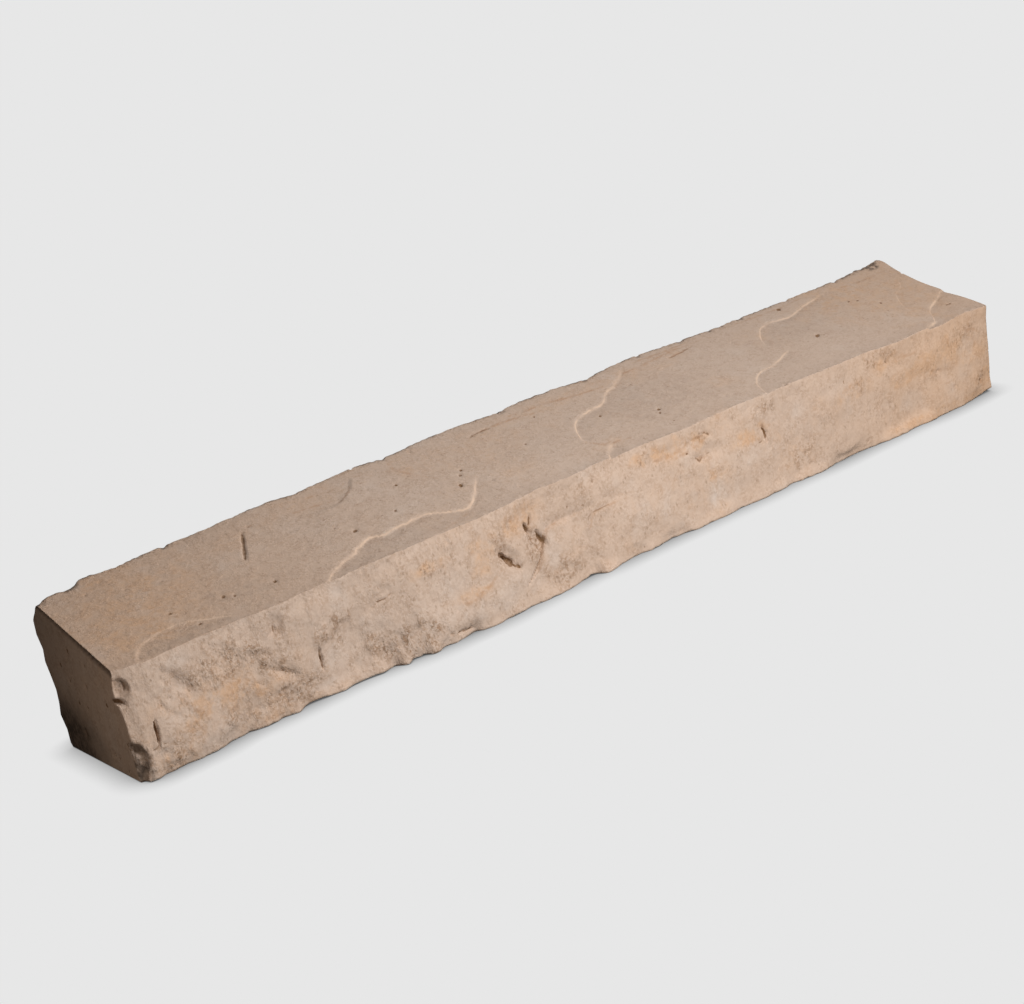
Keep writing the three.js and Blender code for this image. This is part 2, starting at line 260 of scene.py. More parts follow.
# Cleft steps of the top: drop, and the line as (x, y). The surface right of the line,
# seen along it, lies lower than the surface left of it.
CLEFTS = [
    (0.65, [(-293, -44), (-286, -32), (-275, -25), (-262, -23.8), (-250, -27), (-230, -38)]),
    (1.15, [
        (-190, -50), (-184, -41), (-178.5, -35.7), (-167, -29.7), (-158, -27), (-154, -23.5),
        (-144, -19.5), (-137, -22), (-129, -21.2), (-119, -20), (-108, -20.3), (-101, -23.2),
        (-94.5, -27.3), (-88.2, -29.2), (-82.2, -26.2), (-76.3, -20.4), (-71.6, -15.6),
        (-65.5, -8), (-60.5, -2),
    ]),
    (1.1, [
        (5, -22), (5.4, -14), (6.5, -9.4), (10, -2), (14.4, 3.6), (20.3, 7.2), (28.4, 9.6),
        (37.1, 11.2), (44.4, 13.2), (49, 17.5), (55, 22.3), (62, 24.2), (72.7, 30.8), (79, 38),
    ]),
    (1.2, [(-4, -50), (0, -44), (3.4, -38), (7.6, -31.6), (12.6, -27.4), (16, -25.8)]),
    (0.8, [
        (116, -52), (120.5, -39), (124.5, -28), (133, -20), (139, -17.6), (149, -16.2), (162, -12),
        (170, -9),
    ]),
    (0.9, [
        (163, 2), (167, 10), (175, 19.3), (183, 23), (190.4, 23.6), (204, 21.8), (221, 27.4),
        (234, 30), (251, 33.2),
    ]),
    (1.4, [
        (243, -50), (253, -43.4), (258, -41), (264, -38.4), (269.2, -32.5), (273.6, -27.2),
        (280, -23), (288, -19.3), (297, -14), (309, -11.5), (325, -9),
    ]),
    (0.45, [
        (264, -15), (268.3, -8), (272.8, -1.6), (277.2, 2.4), (283.8, 6), (288.5, 9.6), (292, 14),
    ]),
    (-0.8, [(-156, 17), (-140, 16), (-132.5, 18), (-126.8, 22), (-120.5, 28.4), (-116, 35)]),
]
# How far a cleft's step reaches, how wide its edge is, what share of it fades out at
# each end, and how far below it shade is painted
CLEFT_REACH = 26
CLEFT_WIDTH = 1.1
CLEFT_TAPER = 1 / 7
CLEFT_SHADE = 5
# Where a mask counts as far from any pit's rim, and from any cleft
FAR_FROM_RIM = 3.0
FAR_FROM_CLEFT = 6

# Scratches of the top: half width, depth, and the line as (x, y)
TOP_MARKS = [
    (0.85, 0.95, [(-205, 1), (-202.6, 5), (-197.3, 14), (-192.7, 22.4), (-190.6, 26)]),
    (0.6, 0.5, [(-188, 28.5), (-184, 28)]),
    (0.7, 0.4, [(130, 31), (118, 29), (105, 28)]),
    (0.7, 0.5, [(-44, 27), (-34, 29.5), (-23, 30)]),
]
# Small holes of the top: half width, depth, and the two ends, as x, y, x, y
TOP_HOLES = [
    (1.4, 1.4, 204.8, 33, 206, 34), (1.3, 1.2, 196, -7.2, 197, -6.8),
    (1.2, 1.2, 61.2, -13.6, 62, -13.2), (0.9, 0.9, 59, -17, 59.6, -16.6),
    (0.8, 0.7, 58.4, -29.2, 58.8, -28.8), (0.9, 0.8, 31.5, 2, 31.9, 2.3),
    (0.9, 0.8, 2.3, 24, 2.7, 24.3), (1.2, 1.1, -145.8, -10, -145.2, -9.7),
    (1, 1, -102, 13, -101.6, 13.3), (1.1, 1, -76, -8.6, -75.5, -8.2),
    (1, 0.9, -69.7, -0.2, -69.3, 0.2), (1, 0.9, -66.2, 3.6, -65.8, 4),
    (1, 0.9, -118.2, -7.5, -117.8, -7.2), (1.1, 1, -203.4, -22.8, -203, -22.4),
    (1.1, 1, -230.2, -18.2, -229.8, -17.8), (0.9, 0.8, -225.4, -20.6, -225, -20.3),
    (0.9, 0.8, -251, -30, -250.7, -29.7), (0.9, 0.7, -258, -14.2, -257.7, -14),
    (0.9, 0.8, 245.8, 13.1, 246.2, 13.3), (0.9, 0.8, 250.3, 10.4, 250.8, 10.6),
    (0.9, 0.7, 258.9, -0.8, 259.3, -0.6), (0.8, 0.7, 288.6, -27.2, 289, -27),
    (0.8, 0.7, 291, -27.8, 291.4, -27.6), (0.7, 0.6, 234.8, -8, 235.2, -7.8),
    (0.7, 0.6, 254, -11.3, 254.4, -11.1), (0.7, 0.6, -21.6, 2.9, -21.2, 3.1),
]
# Thin rust-brown veins in the skin, and on the face a line of painted shade along the
# longest ledge: half width, strength, and the line as (x, z) on the face or (x, y) on the top
FACE_VEINS_AND_SHADE = [
    (0.8, 0.8, [(-290, 15.3), (-285.5, 13.7)]),
    (1, 0.6, [(-276, 33), (-272, 25), (-266, 22)]),
    (1.2, 0.7, [(-121, 20.9), (-107, 17.1), (-95, 20.5), (-84, 26)]),
    (1, 0.6, [(-75, 47), (-66, 48), (-58, 45.5)]),
    # painted shade along the longest ledge
    (0.9, 0.75, LONG_LEDGE),
    (1, 0.6, [(22, 52), (34, 45.6), (49, 46.3), (64.6, 49.4), (75, 46)]),
    (0.9, 0.5, [(40, 43), (58, 44), (76, 48.5)]),
    (0.8, 0.6, [(-20.7, 22), (-18.5, 29.7), (-14, 33.2), (-2.7, 33.4), (8, 34)]),
    (1, 0.7, [(175, 39), (187, 41), (198, 41)]),
    (1, 0.6, [(251, 30), (259, 28), (270, 25.8)]),
    (0.8, 0.6, [(262, 18.3), (271, 17.6)]),
    (1, 0.6, [(284, 46), (291, 44.5), (298, 41)]),
    (0.9, 0.5, [(290, 39), (293, 35), (288, 31)]),
    (0.9, 0.7, [(61.6, 36), (64, 37), (67, 36.6), (73, 37.2)]),
    (1, 0.5, [(222, 49), (228, 46), (240, 45)]),
]
TOP_VEINS = [
    (0.9, 0.9, [(-44, 26), (-34, 29), (-18, 30), (0, 28), (12, 24)]),
    (0.9, 0.85, [(-16, 33.6), (6, 32), (21, 31.2), (28, 29.8), (38, 28), (46, 27), (57, 26.2)]),
    (0.8, 0.6, [(-90, 38), (-93, 30), (-91, 20), (-85, 10), (-80, 3)]),
    (0.9, 0.7, [(60, 33), (90, 31), (120, 34), (150, 31)]),
    (0.9, 0.6, [(85, 37), (110, 36), (140, 36.5)]),
    (0.8, 0.9, [(131, 31), (118, 29), (105, 28)]),
    (0.8, 0.7, [(-188, 29), (-183, 28)]),
    (0.9, 0.6, [(-166, 24.4), (-149, 23.2), (-136.8, 20.3)]),
    (0.8, 0.7, [(-138, 17), (-132.5, 18.4), (-127, 22), (-120.8, 28.4)]),
    (0.8, 0.6, [(-150, 33), (-128, 30), (-121, 33)]),
    (1, 0.7, [(-109, -38), (-102.6, -36), (-89.4, -32.2)]),
    (0.9, 0.8, [(5, -15), (7, -19), (11, -24), (19, -26.5), (29, -28)]),
    (0.8, 0.5, [(150, 36), (200, 34), (240, 36)]),
    (0.9, 0.5, [(255, 30), (275, 28), (295, 29)]),
]

# Chips out of the crest: x, half length, depth
CREST_CHIPS = [
    (-303, 3, 1.5), (-285, 3, 1.2), (-280, 2, 0.8), (-228, 3.5, 1.2), (-211, 2, 0.9), (-91, 2, 0.9),
    (-8, 3, 1.4), (55, 3.5, 1.5), (97, 2, 0.9), (130, 3, 1), (152, 2, 0.8), (161, 2.5, 0.9),
    (178, 2.5, 1.2), (218, 2, 0.7), (262, 3, 1.2), (270, 3, 1.4), (279, 4, 1.5), (288, 3, 1.2),
    (294, 3, 1.2), (300, 2, 0.8),
]
# How far from its edge the crest is broken, and how far it is dark
CREST_REACH = 4.5
CREST_DARK = 1.6
# Dark grains on the top beside its right back corner and in the broken left corner of
# the face: x, y or z, half sizes, strength
TOP_DARK_GRAINS = [
    (287, 40, 2.6, 2.2, 1), (292.5, 39.5, 2.8, 2.4, 1), (298, 40, 2.4, 1.8, 1),
    (295.5, 36, 3.2, 1.8, 1), (280, 38.6, 4, 1.4, 1), (273, 40, 4, 1.2, 0.8),
    (290, 36, 2, 1.5, 0.8),
]
FACE_DARK_GRAINS = [(-303.5, 5, 4.5, 7.5, 0.8), (-302.5, 16, 3, 4, 0.6)]
# Holes of the left end: y, z, half width, depth
LEFT_END_PITS = [
    (9, 58, 1.5, 1.6), (11.5, 54.5, 0.9, 0.8), (-2, 42, 1.6, 1.2), (-15, 9.5, 1.4, 1.6),
    (-20, 8.3, 1.1, 1), (-8, 54, 1.2, 0.7), (23, 48, 1.4, 0.7), (16, 41, 1.2, 0.8),
    (-22, 36.5, 1.2, 0.8), (12, 30, 1, 0.6), (-34, 19, 1.3, 1), (14, 14, 2, 0.8),
    (20, 14.5, 1.2, 0.6), (2, 30, 1, 0.4), (-27, 3, 1, 0.8),
]
# The undercut just below the top of the left end
UNDERCUT = {"width": 0.9, "front_width": 2.6, "depth": 1.5}
# Painted shade over the foot of the left end, darker towards the back and the bottom
SHADED_FOOT = {"y": 40, "reach": 42, "height": 32}
# The worn upper edge of the right end
RIGHT_WEAR = {"middle": 4, "reach": 24, "depth": 3.6, "down": 13, "along": 9}
# The raised right back corner of the top: x, y, reach, height
RIGHT_CORNER = (305, 37, 6.5, 1.5)

# Layers of lumps: width, height, seed, and the turn of their grid in degrees
FACE_LUMPS = [(46, 1.2, 1, 0), (23, 0.8, 2, 0), (12, 0.45, 3, 0)]
FACE_GRAIN = [(6.4, 0.3, 11, 31), (3.4, 0.22, 12, 67), (1.9, 0.16, 13, 14)]
TOP_LUMPS = [(70, 0.35, 4, 0), (30, 0.2, 5, 0)]
TOP_GRAIN = [(11, 0.07, 14, 40), (5, 0.04, 15, 12), (2.3, 0.03, 16, 55)]
FOOT_RAGGED = [(9, 0.3, 61, 0), (3.7, 0.4, 62, 0)]
TOE_RAGGED = [(6.5, 0.4, 63, 0), (2.3, 0.3, 64, 0)]
NOSE_RAGGED = [(4.3, 0.22, 65, 0), (1.9, 0.16, 66, 0)]
CREST_RAGGED = [(5, 0.35, 23, 0), (2.2, 0.4, 24, 0)]
CLEFT_WOBBLE = [(7, 0.6, 21, 15), (3, 0.3, 22, 45)]
PIT_WOBBLE = [(2.1, 0.3, 51, 33), (1.1, 0.15, 52, 10)]
END_GRAIN = [(16, 0.1, 17, 25), (6, 0.05, 18, 50), (2.5, 0.04, 19, 5)]
# How lively the lumps of the rock face are at either end, and how far they calm down
# under the nose and above the toe
FACE_LIVELINESS = {"left": 1.0, "right": 0.62}
NOSE_CALM = 9
GRAIN_CALM = 1
TOE_CALM = {"share": 0.35, "height": 10}
# Hollows of the back: width, depth, how much stays flat, and seed
BACK_HOLLOWS = [(40, 5, 0.35, 6), (21, 3, 0.45, 7)]
# The worn back edge of the left end, as (z, y), and how far along the back it reaches
LEFT_BACK_EDGE = [
    (0, 37.5), (4, 39), (8.4, 37.5), (11.6, 40), (17, 41.3), (23.6, 38.8), (30, 37.3), (35, 39.8),
    (42.5, 39.8), (48, 42.5), (54, 40), (58, 40.2), (61, 43.3), (64, 43.4), (68.5, 42.3),
    (73, 39.8), (76, 36),
]
LEFT_BACK_REACH = 26

# Warm, pale and dull patches of the stone's colour: x, z or y, half sizes, strength
FACE_WARM = [
    (-258, 23, 28, 9, 1), (-285, 31, 9, 7, 0.6), (-288, 4, 14, 7, 0.9), (-270, 13, 10, 6, 0.8),
    (-126, 43, 13, 3.5, 0.7), (-104, 20.5, 20, 3.5, 0.8), (-92, 35, 12, 12, 0.6),
    (-70, 47, 18, 8, 0.8), (-55, 50, 10, 5, 0.7), (24, 50, 8, 4, 0.6), (47, 49, 27, 6, 1),
    (102, 36, 10, 5, 0.8), (113, 40, 6, 3, 0.6), (185, 37, 17, 7, 0.8), (215, 46, 12, 6, 0.7),
    (262, 37, 22, 8, 0.7), (232, 33, 20, 5, 0.4), (285, 30, 18, 6, 0.6), (255, 3, 50, 3, 0.6),
    (296, 12, 8, 5, 0.6), (70, 24, 6, 3, 0.5), (-205, 3, 30, 3, 0.3),
]
FACE_PALE = [
    (-275, 51, 10, 5, 0.6), (-188, 20, 12, 9, 0.8), (-196, 6, 10, 4, 0.6), (-180, 47, 5, 10, 0.6),
    (-165, 27, 14, 6, 0.6), (-128, 12, 8, 8, 0.5), (-90, 10, 24, 6, 0.7), (-76, 15, 12, 6, 0.6),
    (-115, 30, 10, 6, 0.4), (-48, 24, 5, 9, 0.6), (70, 16, 10, 8, 0.7), (72, 31, 6, 4, 0.7),
    (98, 27, 16, 7, 0.4), (141, 40, 5, 6, 0.5), (235, 15, 14, 8, 0.5), (-274, 24, 5, 4, 0.6),
    (30, 22, 26, 8, 0.3), (172, 44, 12, 6, 0.3),
]
FACE_DULL = [
    (-216, 9, 14, 7, 0.8), (-146, 10, 17, 10, 0.8), (-250, 12, 14, 7, 0.5), (-272, 42, 12, 9, 0.4),
    (-218, 46, 7, 11, 0.5), (-224, 30, 8, 9, 0.5), (-183, 33, 8, 6, 0.4), (-283, 13, 8, 4, 0.3),
    (-303, 9, 5, 10, 1), (208, 20, 9, 7, 0.6), (292, 38, 11, 9, 0.6), (294, 11, 8, 4, 0.6),
    (-60, 27, 6, 8, 0.5), (126, 48, 10, 4, 0.4), (-16, 27, 3, 4, 0.4), (56, 10, 4, 9, 0.3),
    (142, 11, 8, 6, 0.4), (-300, 48, 4, 5, 0.5), (-55, 30, 46, 26, 0.5), (150, 30, 52, 26, 0.5),
    (45, 50, 11, 4, 0.4),
]
TOP_WARM = [
    (-265, 5, 50, 32, 0.6), (-240, -5, 14, 12, 0.4), (-90, 28, 7, 14, 0.6), (-150, 30, 40, 10, 0.4),
    (-45, 20, 60, 20, 0.4), (30, 30, 50, 7, 0.5), (80, 28, 50, 10, 0.5), (115, -13, 12, 9, 0.5),
    (280, 0, 40, 40, 0.6), (240, 15, 40, 20, 0.3), (12, -26, 10, 5, 0.5), (-200, 22, 20, 12, 0.4),
]
TOP_DULL = [
    (-222, -20, 24, 14, 0.6), (-262, -34, 24, 6, 0.7), (-130, -32, 44, 8, 0.5),
    (-20, 0, 40, 18, 0.3), (70, -6, 50, 22, 0.5), (190, 5, 30, 12, 0.4), (-215, 33, 20, 6, 0.3),
    (60, -30, 50, 8, 0.3),
]


def ease(v):
    """Runs softly from 0 to 1 while v does."""
    v = np.clip(v, 0, 1)
    return v * v * (3 - 2 * v)


def mix(a, b, t):
    return a + (b - a) * t


def along(line, x):
    """Smooth curve through the points of an edge line, with no overshoot between them."""
    at, value = np.array(line, float).T
    slope = np.diff(value) / np.diff(at)
    product = slope[:-1] * slope[1:]
    total = np.where(product > 0, slope[:-1] + slope[1:], 1)
    tangent = np.zeros(len(at))
    tangent[1:-1] = np.where(product > 0, 2 * product / total, 0)
    i = np.clip(np.searchsorted(at, x), 1, len(at) - 1)
    span = at[i] - at[i - 1]
    t = np.clip((x - at[i - 1]) / span, 0, 1)
    bend = tangent[i - 1] * (1 - t) - tangent[i] * t
    return mix(value[i - 1], value[i], ease(t)) + span * t * (1 - t) * bend


# The scatter numbers only have to be unlike each other, so that no corner of the
# random surface repeats its neighbour.
SCATTER = {"column": 127.1, "row": 311.7, "seed": 74.7, "stretch": 43758.5453}


def lumps(u, v, width, seed, turn=0):
    """Smooth random surface between -1 and 1, with lumps of the given width."""
    c, s = math.cos(math.radians(turn)), math.sin(math.radians(turn))
    a, b = (c * u - s * v) / width, (s * u + c * v) / width
    i, j = np.floor(a), np.floor(b)

    def corner(di, dj):
        angle = (i + di) * SCATTER["column"] + (j + dj) * SCATTER["row"] + seed * SCATTER["seed"]
        value = np.sin(angle) * SCATTER["stretch"]
        return 2 * (value - np.floor(value)) - 1

    s, t = ease(a - i), ease(b - j)
    return mix(mix(corner(0, 0), corner(1, 0), s), mix(corner(0, 1), corner(1, 1), s), t)


def layered(layers, u, v):
    """Several layers of lumps in one."""
    return sum(height * lumps(u, v, width, seed, turn) for width, height, seed, turn in layers)


def curve_through(line, steps=4):
    """The points of a line with more between them, so that it bends softly."""
    p = np.array([line[0], *line, line[-1]], float)
    t = (np.arange(steps) / steps)[:, None]
    pieces = []
    for a, b, c, d in zip(p, p[1:], p[2:], p[3:]):
        bend, twist = 2 * a - 5 * b + 4 * c - d, 3 * (b - c) + d - a
        pieces.append(b + 0.5 * t * (c - a + t * (bend + t * twist)))
    return np.concatenate([*pieces, p[-1:]])


def from_line(line, u, v):
    """Distance from a line of points, its sign on either side, and the share along it."""
    best = np.full(u.shape, np.inf)
    side = np.zeros(u.shape)
    share = np.zeros(u.shape)
    for k, ((ax, ay), (bx, by)) in enumerate(zip(line, line[1:])):
        dx, dy = bx - ax, by - ay
        t = np.clip(((u - ax) * dx + (v - ay) * dy) / (dx * dx + dy * dy), 0, 1)
        distance = np.hypot(u - ax - t * dx, v - ay - t * dy)
        nearer = distance < best
        best = np.where(nearer, distance, best)
        side = np.where(nearer, np.sign((u - ax) * dy - (v - ay) * dx), side)
        share = np.where(nearer, (k + t) / (len(line) - 1), share)
    return best, side, share


def inside_outline(outline, u, v):
    """Distance from a closed outline, counted as positive inside it."""
    distance, _, _ = from_line([*outline, outline[0]], u, v)
    crossed = np.zeros(u.shape, bool)
    for (ax, ay), (bx, by) in zip(outline, [*outline[1:], outline[0]]):
        if ay != by:
            spans = (ay > v) != (by > v)
            crossed ^= spans & (u < ax + (v - ay) / (by - ay) * (bx - ax))
    return np.where(crossed, distance, -distance)


def short_lines(table):
    """Rows of a table of nicks or holes, as the lines that marks() reads."""
    return [(half_width, deep, [(a, b), (c, d)]) for half_width, deep, a, b, c, d in table]


def marks(table, u, v):
    """The pits and cracks of a table: their depth, how much each point is inside one, how
    far it is from the nearest rim (below zero inside), and how much painted shade that one's inside
    gets."""
    depth = np.zeros(u.shape)
    inside = np.zeros(u.shape)
    rim = np.full(u.shape, FAR_FROM_RIM)
    rim_shade = np.zeros(u.shape)
    wobble = layered(PIT_WOBBLE, u, v)
    for half_width, deep, line in table:
        distance, _, share = from_line(curve_through(line), u, v)
        # a long mark thins out to its ends, and a short one is a round hole
        long = ease(math.dist(line[0], line[-1]) / half_width / 2 - 1)
        width = half_width * mix(1, mix(0.15, 1, ease(2.6 * np.minimum(share, 1 - share))), long)
        away = distance + wobble * min(1, half_width) - width
        cut = 1 - ease(away / width / 0.8 + 0.625)
        shade = max(1 - long, min(1, 0.35 + deep / 2.2))
        depth += deep * cut
        inside = np.maximum(inside, cut * shade)
        rim_shade = np.where(away < rim, shade, rim_shade)
        rim = np.minimum(rim, away)
    return depth, inside, rim, rim_shade


def ledges(table, reach, width, u, v):
    """Height of low steps, with the distance from the nearest one and its strength there."""
    height = np.zeros(u.shape)
    away = np.full(u.shape, 99.0)
    strength = np.zeros(u.shape)
    for drop, line in table:
        distance, side, share = from_line(curve_through(line), u, v)
        ends = ease(share / CLEFT_TAPER) * ease((1 - share) / CLEFT_TAPER)
        spread = np.maximum(0, 1 - distance / reach) ** 2
        height = height - drop * ends * spread * ease(0.5 + side * distance / width)
        nearer = distance < np.abs(away)
        away = np.where(nearer, side * distance, away)
        strength = np.where(nearer, ends * np.clip(drop, 0, 1), strength)
    return height, np.clip(away, -FAR_FROM_CLEFT, FAR_FROM_CLEFT), strength


def patches(table, u, v, seed):
    """Soft blots of colour with ragged rims."""
    total = np.zeros(u.shape)
    ragged = 0.35 * lumps(u, v, 9, seed, 20) + 0.25 * lumps(u, v, 4, seed + 1, 50)
    for cu, cv, half_u, half_v, strength in table:
        r = np.hypot((u - cu) / half_u, (v - cv) / half_v)
        total = np.maximum(total, strength * (1 - ease((r + ragged - 0.35) / 0.95)))
    return total


def face_relief(x, z, top):
    """How far the rock face stands out of its plane, its pits, and how coarse it is."""
    lively = mix(FACE_LIVELINESS["left"], FACE_LIVELINESS["right"], ease(x / LENGTH + 0.5))
    broad = lively * layered(FACE_LUMPS, x, z)
    for cx, cz, half_width, half_height, turn, height in FACE_FORMS:
        c, s = math.cos(math.radians(turn)), math.sin(math.radians(turn))
        u = ((x - cx) * c + (z - cz) * s) / half_width
        v = ((z - cz) * c - (x - cx) * s) / half_height
        broad = broad + height * np.exp(-FORM_EDGE * np.hypot(u, v) ** 3)
    broad = broad * ease((top - z) / NOSE_CALM)
    broad = broad * mix(TOE_CALM["share"], 1, ease(z / TOE_CALM["height"]))
    coarse = patches([(*place, 1) for place in FACE_COARSE], x, z, 31)
    ledge, _, _ = ledges(FACE_LEDGES, LEDGE_REACH, LEDGE_WIDTH, x, z)
    ragged = 0.5 * lumps(x, z, 3, 32, 40)
    for deep, lean, wall, coarseness, outline in FACE_BREAKS:
        within = ease(0.5 + (inside_outline(outline, x, z) + ragged) / wall)
        right_most = max(px for px, _ in outline)
        broad = broad - within * np.maximum(0, deep + lean * (right_most - x))
        coarse = np.maximum(coarse, within * coarseness)
    calm = 1 - 0.7 * patches(FACE_SMOOTH, x, z, 33)
    grain = layered(FACE_GRAIN, x, z) * lively * (0.6 + 1.4 * coarse) * calm
    depth, _, rim, rim_shade = marks(FACE_MARKS + short_lines(FACE_NICKS), x, z)
    fine = (grain - depth) * mix(0.4, 1, ease((top - z) / GRAIN_CALM))
    return broad + ledge + fine, rim, rim_shade, coarse


def top_relief(x, y):
    """How far the top stands over its slope, its pits, and its clefts."""
    bent_y = y + layered(CLEFT_WOBBLE, x, y)
    cleft, away, strength = ledges(CLEFTS, CLEFT_REACH, CLEFT_WIDTH, x, bent_y)
    depth, _, rim, rim_shade = marks(TOP_MARKS + short_lines(TOP_HOLES), x, y)
    height = layered(TOP_LUMPS, x, y) + layered(TOP_GRAIN, x, y)
    cx, cy, reach, raised = RIGHT_CORNER
    height = height + raised * np.exp(-(((x - cx) / reach) ** 2) - ((y - cy) / reach) ** 2)
    return height + cleft - depth, rim, rim_shade, away, strength


def back_hollow(x, z):
    """How deep the back is hollowed behind its bonding plane."""
    worn = ease(1 - (x + HALF_LENGTH) / LEFT_BACK_REACH)
    hollow = (BACK_PLANE - along(LEFT_BACK_EDGE, z)) * worn
    for width, depth, flat, seed in BACK_HOLLOWS:
        hollow = hollow + depth * np.maximum(0, lumps(x, z, width, seed) - flat) * (1 - worn)
    return hollow


def station_places():
    """Where the cross sections stand along the sill, closer where there is more to show."""
    x = np.linspace(-HALF_LENGTH + END_WEAR, HALF_LENGTH - END_WEAR, 4000)
    crowd = 1 + sum(extra * np.exp(-(((x - c) / reach) ** 2)) for c, reach, extra in CLOSER)
    share = np.cumsum(crowd)
    share = (share - share[0]) / (share[-1] - share[0])
    return np.interp(np.linspace(0, 1, STATIONS), share, x)[:, None]


def spread(x, over):
    """The stations' x for every point of one side."""
    return np.broadcast_to(x, over.shape).copy()


def slope_at(y):
    """The height of the sloping top."""
    return FRONT_HEIGHT + (y + NOMINAL_DEPTH / 2) * TOP_SLOPE


